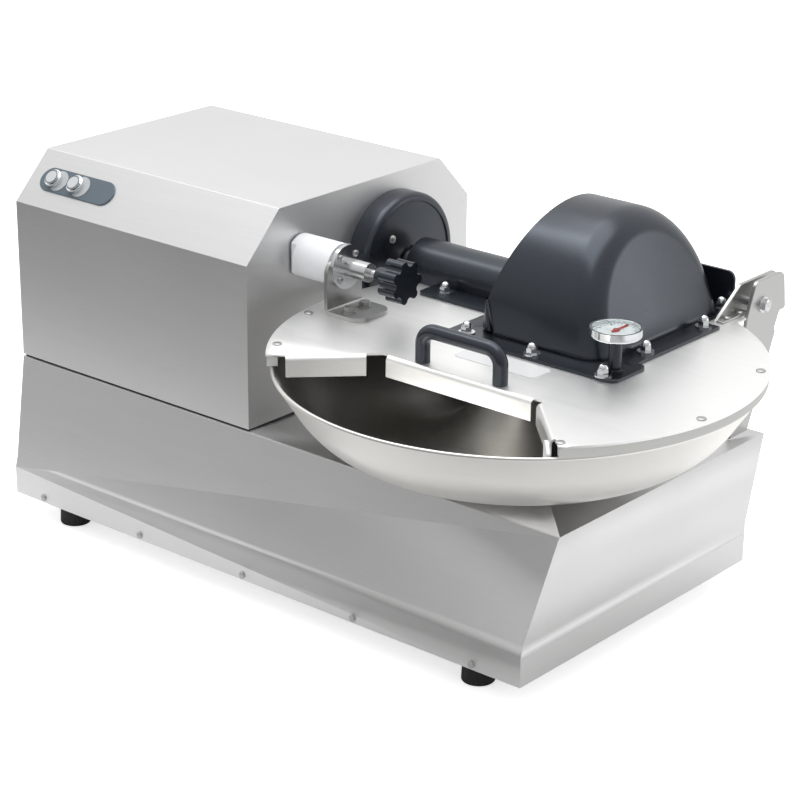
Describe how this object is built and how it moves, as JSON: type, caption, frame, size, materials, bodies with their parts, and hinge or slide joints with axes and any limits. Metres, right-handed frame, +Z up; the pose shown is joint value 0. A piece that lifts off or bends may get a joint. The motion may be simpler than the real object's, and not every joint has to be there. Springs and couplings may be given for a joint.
{
  "type": "bowl cutter",
  "caption": "Tabletop bowl cutter: sloping steel cabinet, chamfered motor housing, turning bowl, hinged lid with domed knife hood, sickle knives and a plunger lock.",
  "frame": {"origin": "on the floor, at the middle of the machine's overall length and depth", "axes": "+X from the motor housing towards the bowl, +Y to the back, +Z up"},
  "size_m": [0.81, 0.518, 0.3955],
  "materials": {
    "cabinet_steel": "brushed",
    "lid_steel": "brushed",
    "bowl_steel": "brushed",
    "plate_steel": "satin",
    "machined_steel": "satin",
    "knife_steel": "ground",
    "black_plastic": "satin",
    "white_nylon": "satin",
    "foot_rubber": "matte",
    "dark_rail": "matte",
    "panel_grey": "satin",
    "button_chrome": "polished",
    "casting": "painted",
    "lens_glass": "clear",
    "needle_red": "matte"
  },
  "bodies": {
    "base": {"base_shell": "cabinet_steel", "bottom_plate": "cabinet_steel", "foot_front_left": "foot_rubber", "foot_front_right": "foot_rubber", "foot_back_left": "foot_rubber", "foot_back_right": "foot_rubber", "housing_shell": "cabinet_steel", "housing_rail": "dark_rail", "button_plate": "panel_grey", "start_bezel": "button_chrome", "stop_bezel": "button_chrome", "motor": "casting", "spindle_bearing": "casting", "bearing_guard": "black_plastic", "drive_belt": "foot_rubber", "gearbox": "casting", "hinge_post_left": "plate_steel", "hinge_post_right": "plate_steel", "hinge_pin_left": "machined_steel", "hinge_pin_right": "machined_steel"},
    "spindle": {"spindle": "machined_steel", "motor_pulley": "casting", "knife_front": "knife_steel", "knife_middle": "knife_steel", "knife_end": "knife_steel", "knife_spacer_1": "machined_steel", "knife_spacer_2": "machined_steel", "knife_nut": "machined_steel"},
    "worm": {"worm_shaft": "machined_steel", "worm_pulley": "casting"},
    "bowl": {"bowl": "bowl_steel", "bowl_shaft": "machined_steel", "bowl_cap": "bowl_steel"},
    "lid": {"lid_plate": "lid_steel", "lid_ring": "white_nylon", "hood": "black_plastic", "shaft_cover": "black_plastic", "rear_guard": "black_plastic", "handle": "black_plastic", "thermo_post": "black_plastic", "thermo_case": "button_chrome", "thermo_lens": "lens_glass", "lock_block": "white_nylon", "lock_bracket": "plate_steel", "lock_flange": "machined_steel", "hinge_arm_left": "plate_steel", "hinge_arm_right": "plate_steel", "scraper": "white_nylon", "scraper_block": "foot_rubber"},
    "lock": {"lock_rod": "machined_steel", "lock_knob": "black_plastic"},
    "needle": {"thermo_needle": "needle_red"},
    "start": {"start_button": "button_chrome"},
    "stop": {"stop_button": "button_chrome"}
  },
  "joints": [
    {"name": "spindle_spin", "type": "hinge", "parent": "base", "child": "spindle", "pos_m": [0.175, 0.088, 0.2925], "axis": [1, 0, 0], "continuous": true},
    {"name": "worm_spin", "type": "hinge", "parent": "base", "child": "worm", "pos_m": [-0.333, 0.017, 0.092], "axis": [1, 0, 0], "continuous": true},
    {"name": "bowl_spin", "type": "hinge", "parent": "base", "child": "bowl", "pos_m": [0.175, -0.033, 0.163], "axis": [0, 0, 1], "continuous": true},
    {"name": "lid_hinge", "type": "hinge", "parent": "base", "child": "lid", "pos_m": [0.175, 0.217, 0.289], "axis": [-1, 0, 0], "range_deg": [0, 85]},
    {"name": "lock_plunger", "type": "slide", "parent": "lid", "child": "lock", "axis": [1, 0, 0], "range_m": [-0.01, 0]},
    {"name": "thermo_swing", "type": "hinge", "parent": "lid", "child": "needle", "pos_m": [0.275, -0.021, 0.3275], "axis": [0, 0, 1], "range_deg": [-130, 130]},
    {"name": "start_press", "type": "slide", "parent": "base", "child": "start", "axis": [0, 0.7147, -0.6995], "range_m": [0, 0.003], "stiffness_N_per_m": 400},
    {"name": "stop_press", "type": "slide", "parent": "base", "child": "stop", "axis": [0, 0.7147, -0.6995], "range_m": [0, 0.003], "stiffness_N_per_m": 400}
  ],
  "couplings": [
    {"joint": "worm_spin", "follows": "spindle_spin", "ratio": 0.514},
    {"joint": "bowl_spin", "follows": "spindle_spin", "ratio": 0.01713}
  ]
}
